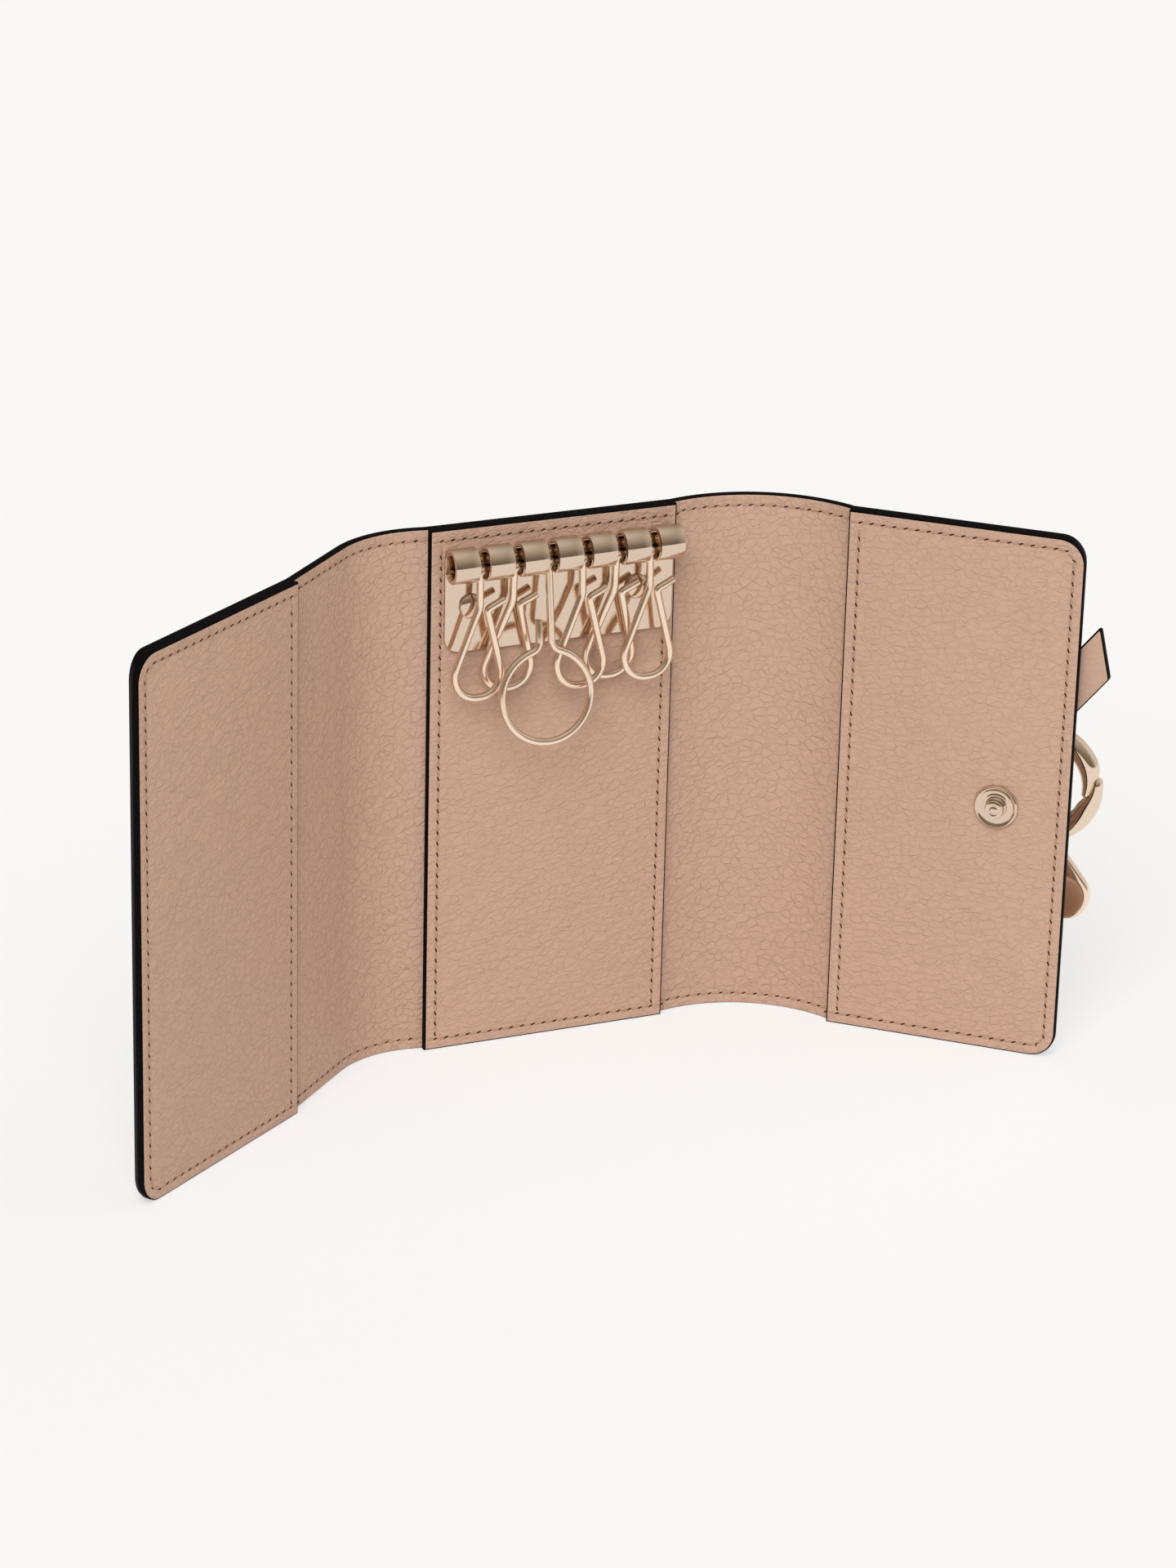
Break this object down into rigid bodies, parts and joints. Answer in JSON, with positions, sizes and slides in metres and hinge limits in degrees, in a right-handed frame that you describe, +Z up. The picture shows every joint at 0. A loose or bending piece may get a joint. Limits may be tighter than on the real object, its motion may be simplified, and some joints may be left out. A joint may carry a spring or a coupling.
{
  "type": "key case",
  "caption": "Tri-fold leather key case that stands open: two flaps on soft spines fold over a key bar with swinging hooks and a ring, closed by a snap, with a ring ornament outside.",
  "frame": {"origin": "bottom of the centre panel, in the middle of its board", "axes": "+X along the centre panel to the right as seen from the keys, -Y towards the keys, +Z up"},
  "size_m": [0.1929, 0.0479, 0.105],
  "materials": {
    "smooth_leather": "smooth, satin",
    "grained_leather": "pebbled, satin",
    "lining_leather": "pebbled, satin",
    "strap_leather": "smooth, satin",
    "board": "matte",
    "pale_gold": "polished",
    "hidden_metal": "plain"
  },
  "bodies": {
    "case_centre": {"centre_overlay": "smooth_leather", "centre_board": "board", "centre_leather": "grained_leather", "key_bar": "pale_gold", "key_bar_rivets": "pale_gold", "key_bar_washers": "hidden_metal"},
    "left_spine_inner": {"left_spine_inner_lining": "lining_leather", "left_spine_inner_leather": "grained_leather"},
    "left_spine_outer": {"left_spine_outer_lining": "lining_leather", "left_spine_outer_leather": "grained_leather"},
    "left_flap": {"left_flap_overlay": "smooth_leather", "left_flap_board": "board", "left_flap_leather": "grained_leather", "snap_socket": "pale_gold", "snap_spring": "hidden_metal", "snap_socket_eyelet": "hidden_metal"},
    "right_spine_inner": {"right_spine_inner_lining": "lining_leather", "right_spine_inner_leather": "grained_leather"},
    "right_spine_outer": {"right_spine_outer_lining": "lining_leather", "right_spine_outer_leather": "grained_leather"},
    "right_flap": {"right_flap_overlay": "smooth_leather", "right_flap_board": "board", "right_flap_leather": "grained_leather", "snap_stud": "pale_gold", "snap_stud_washer": "hidden_metal", "ornament_strap": "strap_leather", "ornament_keeper": "strap_leather", "ornament_keeper_rivet": "pale_gold"},
    "ornament_ring": {"ornament_ring_upper": "pale_gold", "ornament_ring_lower": "pale_gold"},
    "medallion": {"ornament_link": "pale_gold", "ornament_medallion": "pale_gold"},
    "key_hook_1": {"key_hook_1": "pale_gold"},
    "key_hook_2": {"key_hook_2": "pale_gold"},
    "key_ring": {"key_ring": "pale_gold"},
    "key_hook_3": {"key_hook_3": "pale_gold"},
    "key_hook_4": {"key_hook_4": "pale_gold"},
    "key_hook_5": {"key_hook_5": "pale_gold"}
  },
  "joints": [
    {"name": "left_inner_fold", "type": "hinge", "parent": "case_centre", "child": "left_spine_inner", "pos_m": [-0.02445, -0.0004, 0], "axis": [0, 0, -1], "range_deg": [-16.2, 3.92]},
    {"name": "left_middle_fold", "type": "hinge", "parent": "left_spine_inner", "child": "left_spine_outer", "pos_m": [-0.04231, -0.00492, 0], "axis": [0, 0, -1], "range_deg": [-87.46, 21.11]},
    {"name": "left_flap_fold", "type": "hinge", "parent": "left_spine_outer", "child": "left_flap", "pos_m": [-0.05644, -0.01784, 0], "axis": [0, 0, -1], "range_deg": [-41.36, 9.99]},
    {"name": "right_inner_fold", "type": "hinge", "parent": "case_centre", "child": "right_spine_inner", "pos_m": [0.02445, -0.0004, 0], "axis": [0, 0, 1], "range_deg": [-42.76, 12.5]},
    {"name": "right_middle_fold", "type": "hinge", "parent": "right_spine_inner", "child": "right_spine_outer", "pos_m": [0.04173, -0.00213, 0], "axis": [0, 0, 1], "range_deg": [-44.68, 13.05]},
    {"name": "right_flap_fold", "type": "hinge", "parent": "right_spine_outer", "child": "right_flap", "pos_m": [0.0542, -0.01422, 0], "axis": [0, 0, 1], "range_deg": [-51.88, 15.17]},
    {"name": "key_hook_1_swing", "type": "hinge", "parent": "case_centre", "child": "key_hook_1", "pos_m": [-0.01594, -0.00495, 0.0974], "axis": [-1, 0, 0], "range_deg": [-0.01, 126.01]},
    {"name": "key_hook_2_swing", "type": "hinge", "parent": "case_centre", "child": "key_hook_2", "pos_m": [-0.00918, -0.00495, 0.0974], "axis": [-1, 0, 0], "range_deg": [-0.01, 112.01]},
    {"name": "key_ring_swing", "type": "hinge", "parent": "case_centre", "child": "key_ring", "pos_m": [-0.00243, -0.00495, 0.0974], "axis": [-1, 0, 0], "range_deg": [0, 140]},
    {"name": "key_hook_3_swing", "type": "hinge", "parent": "case_centre", "child": "key_hook_3", "pos_m": [0.00433, -0.00495, 0.0974], "axis": [-1, 0, 0], "range_deg": [-0.01, 126.01]},
    {"name": "key_hook_4_swing", "type": "hinge", "parent": "case_centre", "child": "key_hook_4", "pos_m": [0.01108, -0.00495, 0.0974], "axis": [-1, 0, 0], "range_deg": [-0.01, 112.01]},
    {"name": "key_hook_5_swing", "type": "hinge", "parent": "case_centre", "child": "key_hook_5", "pos_m": [0.01784, -0.00495, 0.0974], "axis": [-1, 0, 0], "range_deg": [-0.01, 126.01]},
    {"name": "ornament_ring_swing", "type": "hinge", "parent": "right_flap", "child": "ornament_ring", "pos_m": [0.08736, -0.03318, 0.06305], "axis": [0.7581, -0.6521, 0], "range_deg": [0, 70]},
    {"name": "medallion_swing", "type": "hinge", "parent": "ornament_ring", "child": "medallion", "pos_m": [0.08895, -0.03455, 0.04317], "axis": [-0.6521, -0.7581, 0], "range_deg": [-20, 20]}
  ],
  "couplings": [
    {"joint": "left_inner_fold", "follows": "left_middle_fold", "ratio": 0.18515},
    {"joint": "left_flap_fold", "follows": "left_middle_fold", "ratio": 0.47279},
    {"joint": "right_inner_fold", "follows": "right_middle_fold", "ratio": 0.95666},
    {"joint": "right_flap_fold", "follows": "right_middle_fold", "ratio": 1.161},
    {"joint": "key_hook_1_swing", "follows": "key_ring_swing", "ratio": 0.9},
    {"joint": "key_hook_2_swing", "follows": "key_ring_swing", "ratio": 0.8},
    {"joint": "key_hook_3_swing", "follows": "key_ring_swing", "ratio": 0.9},
    {"joint": "key_hook_4_swing", "follows": "key_ring_swing", "ratio": 0.8},
    {"joint": "key_hook_5_swing", "follows": "key_ring_swing", "ratio": 0.9}
  ]
}
